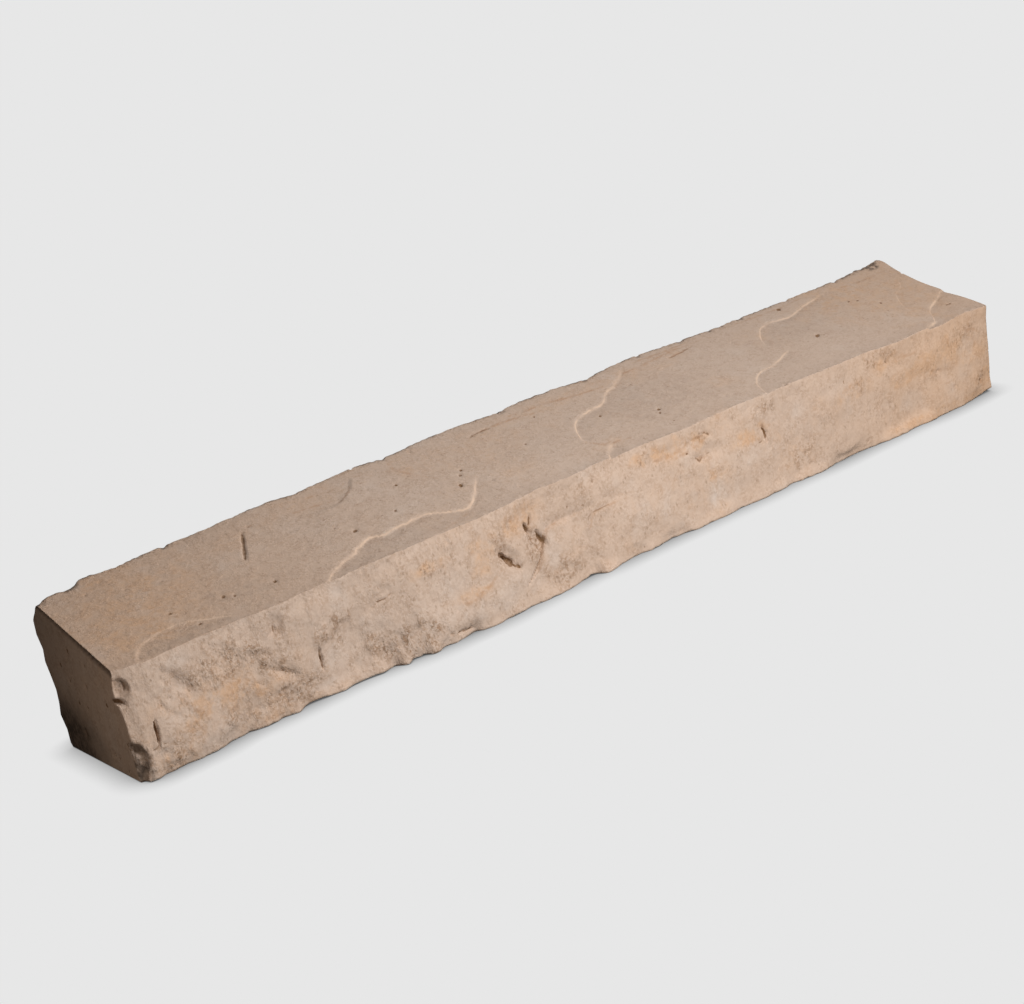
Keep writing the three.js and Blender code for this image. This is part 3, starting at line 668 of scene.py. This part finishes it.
def sill_sections():
    """All cross sections of the sill as an array of (x, y, z), and the colour masks."""
    x = station_places()
    flat = 0 * x
    toe_y, foot_y, toe_z = along(TOE_LINE, x), along(FOOT_LINE, x), along(TOE_LIFT, x)
    foot_y = foot_y + layered(FOOT_RAGGED, x, flat)
    toe_z = toe_z + np.maximum(0, layered(TOE_RAGGED, x, flat))
    nose_y, crest_y = along(NOSE_LINE, x) + layered(NOSE_RAGGED, x, flat), along(CREST_LINE, x)
    arris_chip = np.maximum(0, lumps(x, flat, 2.6, 67) - 0.3)
    arris_chip = arris_chip + np.maximum(0, lumps(x, flat, 6, 68) - 0.5)

    # the top, from the nose back
    run = np.insert(np.arange(TOP_STEPS) / (TOP_STEPS - 1), 1, ARRIS_ROUND / NOMINAL_DEPTH)
    chip = sum(d * np.exp(-(((x - c) / h) ** 2)) for c, h, d in CREST_CHIPS)
    crest_y = crest_y - 0.4 * chip * (1 + 0.8 * lumps(x, flat, 2.9, 28))
    crest_y = crest_y - np.abs(layered(CREST_RAGGED, x, flat))
    top_y = mix(nose_y, crest_y, run)
    top_x = spread(x, top_y)
    relief, top_rim, top_pit_shade, cleft_away, cleft_strength = top_relief(top_x, top_y)
    near_crest = ease(1 - (crest_y - top_y) / CREST_REACH)
    broken = (0.5 * chip + 0.4) * near_crest * (0.7 + 0.6 * lumps(top_x, top_y, 2.6, 25, 30))
    top_z = slope_at(top_y) + relief - broken
    top_z[:, :2] -= arris_chip * np.array([0.5, 0.3])
    nose_z = top_z[:, :1]

    # the rock face, from the toe up
    rise = np.arange(FACE_STEPS - 1) / (FACE_STEPS - 1)
    rise = np.append(rise, 1 - ARRIS_ROUND / FRONT_HEIGHT)
    face_z = mix(toe_z, nose_z, rise)
    face_x = spread(x, face_z)
    relief, face_rim, face_pit_shade, coarse = face_relief(face_x, face_z, nose_z)
    foot_top = FOOT_HEIGHT * (1 + 0.4 * lumps(face_x, face_z, 7, 35))
    foot = (foot_y - toe_y) * (1 - ease(face_z / foot_top))
    face_y = mix(toe_y, nose_y, rise) + foot - relief

    # the broken shoulder behind the crest, then the bonding face down to the heel
    shoulder_z = top_z[:, -1:] - SHOULDER_DROP
    down = np.arange(1, CREST_STEPS) / CREST_STEPS
    shoulder_y = BACK_PLANE - back_hollow(x, slope_at(along(CREST_LINE, x)) - SHOULDER_DROP)
    crest_z = mix(top_z[:, -1:], shoulder_z, down)
    crest_x = spread(x, crest_z)
    gouge = 0.9 * np.abs(lumps(crest_x, crest_z, 6, 26, 20)) + 0.5 * lumps(crest_x, crest_z, 2.5, 27)
    gouge = np.maximum(0, gouge) * np.sin(np.pi * down)
    back_edge_y = mix(top_y[:, -1:], shoulder_y, down**0.8) - gouge
    back_z = mix(shoulder_z, HEEL_HEIGHT, np.linspace(0, 1, BACK_STEPS))
    back_x = spread(x, back_z)
    back_y = BACK_PLANE - back_hollow(back_x, back_z)
    back_y = back_y - 0.5 * np.maximum(0, layered(FACE_GRAIN, back_x, back_z) + 0.2)

    # the underside, home to the toe
    heel_y = BACK_PLANE - back_hollow(x, HEEL_HEIGHT + flat) - HEEL_CUT
    under_y = mix(heel_y, foot_y + FOOT_WIDTH, np.arange(UNDER_STEPS + 1) / UNDER_STEPS)
    under_x = spread(x, under_y)
    under_z = np.zeros_like(under_y)

    walls = [
        (face_x, face_y, face_z), (top_x, top_y, top_z), (crest_x, back_edge_y, crest_z),
        (back_x, back_y, back_z), (under_x, under_y, under_z),
    ]
    points = np.concatenate([np.stack(wall, -1) for wall in walls], 1)

    def masks(face, top, crest, back):
        parts = zip((face, top, crest, back, 0), walls)
        return np.concatenate([np.broadcast_to(part, wall[0].shape) for part, wall in parts], 1)

    # where the colours change: towards the ends, at the arris, the crest and the clefts
    right_end = ease((face_x - 120) / 190)
    left_end = ease((-100 - top_x) / 190)
    face_right, top_right = ease(face_x / LENGTH + 0.5), ease(top_x / LENGTH + 0.5)
    face_arris, top_arris = 0 * face_x, 0 * top_x
    face_arris[:, -1:], top_arris[:, :2] = 1, 1
    shade_below_cleft = cleft_strength * (cleft_away > 0) * np.exp(-cleft_away / CLEFT_SHADE)
    broken_corner = (coarse > 0.5) * ease(1 - (face_x + 294) / 3) * ease((26 - face_z) / 3)
    # painted shade on the top, growing to the right and strongest along the nose
    shaded_top = mix(0.22, 0.42, ease((top_x + 50) / 300)) + 0.25 * (1 - ease((top_y - nose_y) / 12))
    # a painted highlight along the nose arris of the rock face, stronger to the right
    arris_highlight = 0.22 * face_arris * ease(0.5 + face_x / 200)
    # painted shade below each cleft and along the nose arris of the top, and darker towards the left
    # end
    dull_and_shade_top = 0.6 * shade_below_cleft + 0.42 * left_end + 0.4 * top_arris
    gritty = mix(0.46, 0.33, face_right) + 0.45 * patches(FACE_GRITTY, face_x, face_z, 34)
    spots = ease(0.5 + 1.6 * lumps(top_x, top_y, 1.7, 29, 25))
    speckled = ease(0.75 + 2.4 * lumps(top_x, top_y, 1.6, 57, 35))
    crest_line = 0.75 * ease(1 - (crest_y - top_y) / CREST_DARK)
    crest_line = crest_line * ease(0.3 + 1.6 * lumps(top_x, 0 * top_y, 11, 58))
    crest_spots = ease(0.3 + 1.8 * lumps(crest_x, crest_z, 3.1, 56, 25)) * (1 - down)
    dark_face_grains = patches(FACE_DARK_GRAINS, face_x, face_z, 54)
    dark_top_grains = [
        near_crest * ease(chip / 0.9) * spots, crest_line,
        patches(TOP_DARK_GRAINS, top_x, top_y, 53) * speckled,
    ]
    colour = {
        "pit_rim": masks(face_rim, top_rim, FAR_FROM_RIM, FAR_FROM_RIM),
        "pit_shade": masks(face_pit_shade, top_pit_shade, 0, 0),
        "shaded_top": masks(0, shaded_top, 0.3, 0.2),
        "tint": masks(
            0.6 * right_end + 0.12 * ease((face_x + 110) / 60),
            0.42 * left_end + 0.25 * ease((top_x - 200) / 100), 0.2, 0.2,
        ),
        "warm": masks(
            patches(FACE_WARM, face_x, face_z, 41), 0.6 * patches(TOP_WARM, top_x, top_y, 43), 0, 0,
        ),
        "pale_and_highlight": masks(
            np.minimum(1, patches(FACE_PALE, face_x, face_z, 45) + arris_highlight), 0, 0, 0.2,
        ),
        "dull_and_shade": masks(
            np.minimum(1, patches(FACE_DULL, face_x, face_z, 47) + 0.4 * broken_corner),
            np.minimum(1, patches(TOP_DULL, top_x, top_y, 49) + dull_and_shade_top), 0.5, 0.3,
        ),
        "vein_and_ledge_shade": masks(
            marks(FACE_VEINS_AND_SHADE, face_x, face_z)[1], marks(TOP_VEINS, top_x, top_y)[1], 0, 0,
        ),
        "grit": masks(
            gritty + 0.45 * coarse, mix(0.34, 0.26, top_right) + 0.4 * near_crest, 0.9, 0.7,
        ),
        "dark_grain_and_shade": masks(
            dark_face_grains * ease(0.8 + 1.5 * lumps(face_x, face_z, 1.7, 55, 15)),
            np.maximum.reduce(dark_top_grains), 0.9 * ease(chip / 1.3) * crest_spots, 0,
        ),
        "cleft_away": masks(FAR_FROM_CLEFT, cleft_away, FAR_FROM_CLEFT, FAR_FROM_CLEFT),
        "cleft_strength": masks(0, cleft_strength, 0, 0),
    }
    return points, colour


def end_sheet(yz, toward):
    """The flat end at the given (y, z) points: the points themselves and their masks."""
    y, z = yz.T
    depth = 0.12 + layered(END_GRAIN, y + 500 * toward, z)
    rim, dark_grain_and_shade = np.full(y.shape, FAR_FROM_RIM), np.zeros(y.shape)
    if toward < 0:
        ragged = 0.5 * lumps(y, z, 1.9, 71, 20)
        for cy, cz, half_width, deep in LEFT_END_PITS:
            away = np.hypot((y - cy) * 1.15, (z - cz) * 0.75) + 0.4 * (y - cy)
            cut = 1 - ease(((away + ragged) / half_width - 0.5) / 0.7)
            depth = depth + deep * cut
            rim = np.minimum(rim, away + ragged - 0.8 * half_width)
        below = slope_at(y) - z
        width = mix(UNDERCUT["front_width"], UNDERCUT["width"], ease((y + 40) / 70))
        groove = 1 - ease((below - width) / 1.3)
        depth = depth + UNDERCUT["depth"] * groove * ease(below / 0.5)
        from_foot = np.hypot((y - SHADED_FOOT["y"]) / SHADED_FOOT["reach"], z / SHADED_FOOT["height"])
        foot_shade = ease(1.38 - from_foot + 0.12 * lumps(y, z, 9, 72, 40))
        # painted shade in the undercut under the top and over the back foot of the left end
        dark_grain_and_shade = np.maximum(0.9 * groove, 0.95 * foot_shade)
    x = toward * (HALF_LENGTH - np.maximum(0, depth))
    return np.stack([x, y, z], -1), {"pit_rim": rim, "dark_grain_and_shade": dark_grain_and_shade}


def end_triangles(ring):
    """Points that fill the outline of an end evenly, and the triangles between them all."""
    low, high = ring.min(0), ring.max(0)
    z = np.arange(low[1], high[1], END_GRID * 0.87)
    y = np.arange(low[0], high[0], END_GRID)
    shift = 0.5 * (np.arange(len(z)) % 2)[:, None] + 0.2 * lumps(y[None, :], z[:, None], 2, 73)
    grid_y = y[None, :] + END_GRID * shift
    grid = np.stack([grid_y.ravel(), np.repeat(z, len(y))], -1)
    inner = grid[inside_outline(ring.tolist(), grid[:, 0], grid[:, 1]) > 0.6 * END_GRID]
    corners = [Vector(p) for p in np.concatenate([ring, inner]).tolist()]
    _, _, triangles, origins, _, _ = delaunay_2d_cdt(corners, [], [list(range(len(ring)))], 1, 1e-5)
    return inner, [[origins[i][0] for i in triangle] for triangle in triangles]


def wear_right_end(points):
    """Pulls in the upper edge of the right end, which is worn hollow."""
    wear = RIGHT_WEAR
    x, y, z = points[..., 0], points[..., 1], points[..., 2]
    share = ease(1 - (slope_at(y) - z) / wear["down"]) * ease(1 - (HALF_LENGTH - x) / wear["along"])
    points[..., 0] -= wear["depth"] * share * np.exp(-(((y - wear["middle"]) / wear["reach"]) ** 2))


def grid_faces(rings, around):
    """Four-sided faces between neighbouring rings of a tube."""
    r, i = np.meshgrid(np.arange(rings - 1), np.arange(around), indexing="ij")
    a, b = r * around + i, r * around + (i + 1) % around
    return np.stack([a, a + around, b + around, b], -1).reshape(-1, 4)


# What the colour masks are on the two ends, where they aren't nothing
END_MASKS = {"pit_shade": 0.8, "tint": 0.25, "dull_and_shade": 0.4, "grit": 0.4, "cleft_away": FAR_FROM_CLEFT}


def make_sill_mesh():
    """The closed stone: one tube of sections, closed by a sheet at each end."""
    sections, colour = sill_sections()
    around = sections.shape[1]
    middle = np.array([0, BACK_HEIGHT / 2])
    rings = [middle + (section[:, 1:] - middle) * END_DRAW for section in (sections[0], sections[-1])]
    tube_ends = [end_sheet(ring, side) for ring, side in zip(rings, (-1, 1))]
    tube = np.concatenate([tube_ends[0][0][None], sections, tube_ends[1][0][None]])
    points = [tube.reshape(-1, 3)]
    faces = grid_faces(len(tube), around).tolist()

    def end_mask(sheet, name):
        return sheet[1].get(name, np.full(len(sheet[0]), END_MASKS.get(name, 0.0)))

    masks = {}
    for name, values in colour.items():
        left, right = [end_mask(sheet, name)[None] for sheet in tube_ends]
        masks[name] = [np.concatenate([left, values, right]).ravel()]
    for ring, side, first in zip(rings, (-1, 1), (0, (len(tube) - 1) * around)):
        inner, triangles = end_triangles(ring)
        sheet = end_sheet(inner, side)
        shift = sum(map(len, points)) - around
        for triangle in triangles:
            corners = [first + i if i < around else shift + i for i in triangle]
            faces.append(corners if side > 0 else corners[::-1])
        points.append(sheet[0])
        for name in colour:
            masks[name].append(end_mask(sheet, name))
    points = np.concatenate(points)
    wear_right_end(points)
    points[:, 1] += CENTRING
    points = np.clip(points, np.array(sill_low) / MM, np.array(sill_high) / MM)

    mesh = bpy.data.meshes.new("cast_stone_sill_skin")
    mesh.from_pydata((points * MM).tolist(), [], faces)
    mesh.shade_smooth()
    for name, values in masks.items():
        layer = mesh.attributes.new(name, "FLOAT", "POINT")
        layer.data.foreach_set("value", np.concatenate(values).astype(np.float32))
    mesh.validate()
    return mesh


def add_object(name, data):
    made = bpy.data.objects.new(name, data)
    bpy.context.collection.objects.link(made)
    return made


def start_nodes(block):
    """The empty node tree of a new material or world."""
    block.use_nodes = True
    block.node_tree.nodes.clear()
    return block.node_tree


def put(tree, kind, settings=None, **inputs):
    """One node with its settings and inputs. An input is a value or another node's socket,
    and i0, i1 and so on name inputs by their number."""
    made = tree.nodes.new(kind)
    for name, value in (settings or {}).items():
        setattr(made, name, value)
    for name, value in inputs.items():
        socket = made.inputs[int(name[1:]) if name[1:].isdigit() else name]
        if isinstance(value, bpy.types.NodeSocket):
            tree.links.new(value, socket)
        else:
            socket.default_value = value
    return made


def reckon(tree, operation, a, b, clamp=False):
    """One sum of two numbers."""
    settings = {"operation": operation, "use_clamp": clamp}
    return put(tree, "ShaderNodeMath", settings, i0=a, i1=b).outputs[0]


def soft_range(tree, value, low, high, to_low=0.0, to_high=1.0):
    """Takes a value from one range to another, with soft ends."""
    ends = {"From Min": low, "From Max": high, "To Min": to_low, "To Max": to_high}
    settings = {"interpolation_type": "SMOOTHSTEP"}
    return put(tree, "ShaderNodeMapRange", settings, Value=value, **ends).outputs["Result"]


# Air holes of the cast skin: how many on a square metre, their radius and their depth
AIR_HOLES = {
    "Holes per square metre": 1500.0, "Hole radius": 0.0011, "Hole depth": 0.0008, "Seed": 7,
}
# How small the least of them is, and where its side begins and ends, as shares
SMALLEST_HOLE = 0.35
HOLE_SIDE = (0.5, 1.15)


def make_air_hole_tree():
    """Geometry Nodes: scatters small air holes over the stone and sinks its skin there."""
    tree = bpy.data.node_groups.new("air_holes", "GeometryNodeTree")
    kinds = {"Geometry": "Geometry", **dict.fromkeys(AIR_HOLES, "Float")}
    kinds.update({"Seed": "Int", "Finish": "Material"})
    for name, kind in kinds.items():
        tree.interface.new_socket(name, in_out="INPUT", socket_type="NodeSocket" + kind)
    tree.interface.new_socket("Geometry", in_out="OUTPUT", socket_type="NodeSocketGeometry")
    given = tree.nodes.new("NodeGroupInput").outputs
    stone, seed = given["Geometry"], given["Seed"]

    holes = put(
        tree, "GeometryNodeDistributePointsOnFaces", Mesh=stone, Seed=seed,
        Density=given["Holes per square metre"],
    ).outputs["Points"]
    size = put(
        tree, "FunctionNodeRandomValue", {"data_type": "FLOAT"}, i2=SMALLEST_HOLE, i3=1.0, Seed=seed,
    ).outputs[1]
    nearest = put(tree, "GeometryNodeSampleNearest", {"domain": "POINT"}, Geometry=holes)

    def at_nearest(kind, value):
        return put(
            tree, "GeometryNodeSampleIndex", {"data_type": kind, "domain": "POINT"},
            Geometry=holes, Value=value, Index=nearest.outputs["Index"],
        ).outputs[0]

    place = tree.nodes.new("GeometryNodeInputPosition").outputs[0]
    own_size, centre = at_nearest("FLOAT", size), at_nearest("FLOAT_VECTOR", place)
    away = put(tree, "ShaderNodeVectorMath", {"operation": "DISTANCE"}, i0=place, i1=centre)
    radius = reckon(tree, "MULTIPLY", given["Hole radius"], own_size)
    share = reckon(tree, "DIVIDE", away.outputs["Value"], radius)
    inside = soft_range(tree, share, *HOLE_SIDE, 1.0, 0.0)
    sunk = reckon(tree, "MULTIPLY", reckon(tree, "MULTIPLY", inside, given["Hole depth"]), own_size)
    inward = reckon(tree, "MULTIPLY", sunk, -1.0)
    normal = tree.nodes.new("GeometryNodeInputNormal").outputs[0]
    move = put(tree, "ShaderNodeVectorMath", {"operation": "SCALE"}, i0=normal, Scale=inward)
    moved = put(tree, "GeometryNodeSetPosition", Geometry=stone, Offset=move.outputs[0])
    kept = put(
        tree, "GeometryNodeStoreNamedAttribute", {"data_type": "FLOAT", "domain": "POINT"},
        Geometry=moved.outputs[0], Name="air_hole", Value=inside,
    )
    real = put(tree, "GeometryNodeRealizeInstances", Geometry=kept.outputs[0])
    finish = given["Finish"]
    finished = put(tree, "GeometryNodeSetMaterial", Geometry=real.outputs[0], Material=finish)
    put(tree, "NodeGroupOutput", i0=finished.outputs[0])
    return tree


def make_plain_mesh(piece, name):
    """The piece with its modifiers worked in, as a plain mesh object."""
    depsgraph = bpy.context.evaluated_depsgraph_get()
    baked = bpy.data.meshes.new_from_object(piece.evaluated_get(depsgraph), depsgraph=depsgraph)
    baked.name = name
    bpy.data.objects.remove(piece)
    return add_object(name, baked)


# Colours of the stone, as linear red, green and blue; the top's painted shade is a share of the
# others
TOP_SHADE_COLOUR = (0.78, 0.785, 0.8, 1)
BUFF = (0.56, 0.43, 0.345, 1)
PEACH = (0.605, 0.4, 0.265, 1)
BONE = (0.62, 0.515, 0.445, 1)
CLEFT_HIGHLIGHT_PEACH = (0.74, 0.55, 0.41, 1)
DULL_BROWN = (0.38, 0.29, 0.235, 1)
VEIN_AND_SHADE_BROWN = (0.4, 0.22, 0.12, 1)
HOLE_SHADE_BROWN = (0.19, 0.105, 0.052, 1)
GAP_BROWN = (0.27, 0.18, 0.12, 1)
DARK_GRAIN_AND_SHADE_BROWN = (0.072, 0.052, 0.039, 1)
SHADED_SAND = (0.61, 0.5, 0.4, 1)
# Sizes of the patterns in the stone, in metres
CLOUD, PALE_CLOUD = 0.05, 0.03
LIP_BREAK, FLECK = 0.012, 0.009
CLUMP, DULL_BLOT, WARM_BLOT = 0.0055, 0.0045, 0.003
SAND_GAP, GRAIN, SAND_GRAIN, SAND = 0.002, 0.0019, 0.0012, 0.0008
# How strongly the patches and the painted highlight on the cleft lips show
WARM_SHARE, PALE_SHARE, DULL_SHARE, LIP_HIGHLIGHT_SHARE = 0.8, 0.85, 0.42, 0.62
BUMP_HEIGHT = 0.0009


def make_cast_stone():
    """Integrally coloured cast stone: buff with peach and bone patches and a sandy grain."""
    material = bpy.data.materials.new("cast_stone")
    tree = start_nodes(material)
    spot = tree.nodes.new("ShaderNodeTexCoord").outputs["Object"]
    drawn_out = put(tree, "ShaderNodeMapping", Vector=spot, Scale=(1, 1, 0.6)).outputs[0]

    def noise(size, detail=3.0, rough=0.55, where=spot):
        settings = {"Scale": 1 / size, "Detail": detail, "Roughness": rough}
        return put(tree, "ShaderNodeTexNoise", Vector=where, **settings).outputs["Fac"]

    def cells(size, where=spot):
        """Random cells: how far a point is from its cell's middle, and its cell's number."""
        made = put(tree, "ShaderNodeTexVoronoi", Vector=where, Scale=1 / size).outputs
        number = put(tree, "ShaderNodeSeparateColor", Color=made["Color"]).outputs[0]
        return made["Distance"], number

    def mask(name):
        return put(tree, "ShaderNodeAttribute", {"attribute_name": name}).outputs["Fac"]

    def sum_of(a, b):
        return reckon(tree, "ADD", a, b)

    def times(a, b, clamp=False):
        return reckon(tree, "MULTIPLY", a, b, clamp)

    def ramp(*ends):
        return soft_range(tree, *ends)

    def blend(kind, amount, under, over):
        settings = {"data_type": "RGBA", "blend_type": kind, "clamp_factor": True}
        return put(tree, "ShaderNodeMix", settings, i0=amount, i6=under, i7=over).outputs[2]

    fleck = noise(FLECK, 4.0, 0.65, drawn_out)
    grain = noise(GRAIN, 2.0, 0.6, drawn_out)
    sand = noise(SAND, 2.0, 0.7)
    grit = times(mask("grit"), ramp(noise(CLUMP, 3.0, 0.6, drawn_out), 0.34, 0.66, 0.42, 1.58))

    cloud = noise(CLOUD, 4.0, 0.6)
    warm = sum_of(times(mask("warm"), WARM_SHARE), ramp(cloud, 0.48, 0.75, 0.0, 0.35))
    warm = times(warm, ramp(fleck, 0.36, 0.62, 0.3, 1.2))
    warm = times(warm, ramp(noise(WARM_BLOT, 2.0), 0.35, 0.65, 0.6, 1.4), True)
    # pale patches, with the painted highlight along the nose arris
    pale_and_highlight = sum_of(times(mask("pale_and_highlight"), PALE_SHARE), ramp(noise(PALE_CLOUD), 0.5, 0.72, 0.0, 0.4))
    pale_and_highlight = times(pale_and_highlight, ramp(fleck, 0.3, 0.6, 1.1, 0.5), True)
    # dull patches, with the painted shade below the clefts and along the nose arris
    dull_and_shade = times(mask("dull_and_shade"), ramp(noise(DULL_BLOT, 3.0, 0.6), 0.38, 0.62, 0.3, 1.0), True)

    colour = blend("MIX", sum_of(warm, mask("tint")), BUFF, PEACH)
    colour = blend("MIX", pale_and_highlight, colour, BONE)
    colour = blend("MIX", times(dull_and_shade, DULL_SHARE), colour, DULL_BROWN)

    # sandy speckle, stronger where the grit is coarse, and dark gaps between the grains
    _, cell = cells(SAND_GRAIN)
    speck = sum_of(sum_of(times(grain, 0.3), times(sand, 0.37)), times(cell, 0.33))
    tone = ramp(speck, 0.3, 0.68, 1.0, 0.0)
    darker = blend("MULTIPLY", 1.0, colour, SHADED_SAND)
    colour = blend("MIX", times(tone, sum_of(times(grit, 0.65), 0.05)), colour, darker)
    middle, chance = cells(SAND_GAP, drawn_out)
    picked = reckon(tree, "LESS_THAN", chance, ramp(grit, 0.25, 1.1, 0.05, 0.8))
    gaps = times(ramp(middle, 0.12, 0.42, 1.0, 0.0), picked)
    colour = blend("MIX", times(gaps, sum_of(times(grit, 0.3), 0.28)), colour, GAP_BROWN)
    # rust veins, and painted shade along the longest ledge of the face
    colour = blend("MIX", times(mask("vein_and_ledge_shade"), ramp(fleck, 0.4, 0.6, 0.2, 0.7)), colour, VEIN_AND_SHADE_BROWN)

    # painted shade: the top, and a little the crest and the back, darker than the rock face
    colour = blend("MULTIPLY", mask("shaded_top"), colour, TOP_SHADE_COLOUR)

    # a painted highlight on the lip of each cleft, where its step faces the light
    away = mask("cleft_away")
    lip_highlight = times(ramp(away, -0.6, -0.1), ramp(away, 0.2, 0.75, 1.0, 0.0))
    lip_highlight = times(times(lip_highlight, mask("cleft_strength")), ramp(noise(LIP_BREAK, 2.0), 0.35, 0.6, 0.2, 1.0))
    colour = blend("MIX", times(lip_highlight, LIP_HIGHLIGHT_SHARE), colour, CLEFT_HIGHLIGHT_PEACH)

    # painted shade inside the pits and air holes, darker in the deeper pits
    shaded_pit = times(ramp(mask("pit_rim"), -0.3, 0.15, 0.95, 0.0), mask("pit_shade"))
    air_hole = ramp(mask("air_hole"), 0.35, 0.8, 0.0, 0.7)
    hole_shade = sum_of(times(shaded_pit, ramp(grain, 0.4, 0.6, 0.8, 1.1)), air_hole)
    colour = blend("MIX", hole_shade, colour, HOLE_SHADE_BROWN)
    # the darkest brown: painted shade on the left end, and dark grains at the crest and in the broken
    # corner of the face
    dark_grain_and_shade = times(mask("dark_grain_and_shade"), ramp(grain, 0.4, 0.6, 0.75, 1.0))
    colour = blend("MIX", dark_grain_and_shade, colour, DARK_GRAIN_AND_SHADE_BROWN)

    rough_grain = sum_of(
        times(grain, sum_of(times(grit, 0.8), 0.1)), times(sand, sum_of(times(grit, 0.5), 0.1)),
    )
    bump = put(tree, "ShaderNodeBump", Height=rough_grain, Distance=BUMP_HEIGHT, Strength=0.7)
    finish = {"Base Color": colour, "Specular IOR Level": 0.2, "Normal": bump.outputs[0]}
    roughness = ramp(tone, 0.0, 1.0, 0.97, 0.84)
    surface = put(tree, "ShaderNodeBsdfPrincipled", Roughness=roughness, **finish)
    put(tree, "ShaderNodeOutputMaterial", Surface=surface.outputs[0])
    return material


def make_sill():
    """The stone itself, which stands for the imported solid."""
    stone = add_object("sill_blank", make_sill_mesh())
    holes = stone.modifiers.new("air_holes", "NODES")
    holes.node_group = make_air_hole_tree()
    sockets = holes.node_group.interface.items_tree
    given = {socket.name: socket.identifier for socket in sockets if socket.in_out == "INPUT"}
    for name, value in AIR_HOLES.items():
        holes[given[name]] = value
    holes[given["Finish"]] = make_cast_stone()
    sill = make_plain_mesh(stone, "watertable_sill")
    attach(sill, "root")
    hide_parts(NODE)


# Studio: a pale floor with only a soft contact shadow under the stone
FLOOR_REACH = 12.0
PALE_GREY = (0.799, 0.799, 0.799, 1)
CONTACT_REACH = 0.0155
CONTACT_GREY = (0.05, 0.05, 0.049, 1)
AMBIENT = (0.075, 0.066, 0.06, 1)
FLOOR_GLOW = 0.04
# The lights: azimuth (0 in front, 90 at the right), elevation, distance, side, power and
# colour. A low key at the front right, a weak fill low at the front left, a small lamp
# beside the left end, and two behind.
LIGHTS = {
    "key": (10, 29, 0.84, 0.38, 7.8, (1.0, 0.985, 0.965)),
    "fill": (-24, 9, 0.6, 0.2, 0.4, (1.0, 0.97, 0.94)),
    "end": (-83, 0, 0.4, 0.05, 0.0142, (1.0, 0.87, 0.74)),
    "behind": (165, 12, 2.2, 0.9, 28, (1.0, 0.98, 0.95)),
    "high": (140, 30, 1.2, 0.5, 4, (1.0, 0.98, 0.95)),
}


def make_floor():
    """A pale floor that glows evenly, and is darker only where the stone is close."""
    mesh = bpy.data.meshes.new("floor")
    corners = [(x * FLOOR_REACH, y * FLOOR_REACH, 0) for x, y in ((-1, -1), (1, -1), (1, 1), (-1, 1))]
    mesh.from_pydata(corners, [], [(0, 1, 2, 3)])
    floor = add_object("floor", mesh)
    material = bpy.data.materials.new("pale_floor")
    tree = start_nodes(material)
    near = put(tree, "ShaderNodeAmbientOcclusion", {"samples": 16}, Distance=CONTACT_REACH)
    grey = put(
        tree, "ShaderNodeMix", {"data_type": "RGBA"}, i0=near.outputs["AO"],
        i6=CONTACT_GREY, i7=PALE_GREY,
    )
    seen = put(tree, "ShaderNodeLightPath").outputs["Is Camera Ray"]
    strength = put(tree, "ShaderNodeMix", {"data_type": "FLOAT"}, i0=seen, i2=FLOOR_GLOW, i3=1.0)
    glow = put(tree, "ShaderNodeEmission", Color=grey.outputs[2], Strength=strength.outputs[0])
    put(tree, "ShaderNodeOutputMaterial", Surface=glow.outputs[0])
    mesh.materials.append(material)
    floor.visible_glossy = floor.visible_shadow = False
    floor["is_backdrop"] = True


def make_world():
    """The pale grey that the camera sees, and a dim warm light on the stone."""
    world = bpy.context.scene.world = bpy.data.worlds.new("studio")
    tree = start_nodes(world)
    seen = put(tree, "ShaderNodeLightPath").outputs["Is Camera Ray"]
    backdrop = put(tree, "ShaderNodeBackground", Color=PALE_GREY)
    ambient = put(tree, "ShaderNodeBackground", Color=AMBIENT)
    both = put(tree, "ShaderNodeMixShader", i0=seen, i1=ambient.outputs[0], i2=backdrop.outputs[0])
    put(tree, "ShaderNodeOutputWorld", Surface=both.outputs[0])


def add_light(name, azimuth, elevation, distance, side, power, colour):
    """A soft square light that looks at the stone."""
    light = bpy.data.lights.new(name, "AREA")
    light.size, light.energy, light.color = side, power, colour
    a, e = math.radians(azimuth), math.radians(elevation)
    toward = Vector((math.sin(a) * math.cos(e), -math.cos(a) * math.cos(e), math.sin(e)))
    lamp = add_object(name, light)
    lamp.location = Vector((0, 0, BACK_HEIGHT * MM / 2)) + toward * distance
    lamp.rotation_euler = toward.to_track_quat("Z", "Y").to_euler()
    lamp.visible_camera = False


# The camera of the photograph: where it stands, and how it is turned
CAMERA_PLACE = (-0.6434, -0.9035, 0.3847)
CAMERA_AZIMUTH = -33.687
CAMERA_ELEVATION = 17.471
CAMERA_ROLL = -11.789
CAMERA_LENS = 73.05


def make_camera():
    data = bpy.data.cameras.new("camera")
    data.lens, data.sensor_width = CAMERA_LENS, 36
    data.clip_start, data.clip_end = 0.01, 100
    camera = add_object("camera", data)
    turned = Euler((math.radians(90 - CAMERA_ELEVATION), 0, math.radians(CAMERA_AZIMUTH))).to_matrix()
    rolled = Matrix.Rotation(math.radians(CAMERA_ROLL), 3, "Z")
    camera.matrix_world = Matrix.Translation(CAMERA_PLACE) @ (turned @ rolled).to_4x4()
    bpy.context.scene.camera = camera


make_camera()
make_sill()
make_floor()
make_world()
for name, light in LIGHTS.items():
    add_light(name, *light)
bpy.context.scene.view_settings.view_transform = "Standard"

boxes = {"solid": solid_box, "visual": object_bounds()}
boxes = {name: [list(corner) for corner in box] for name, box in boxes.items()}
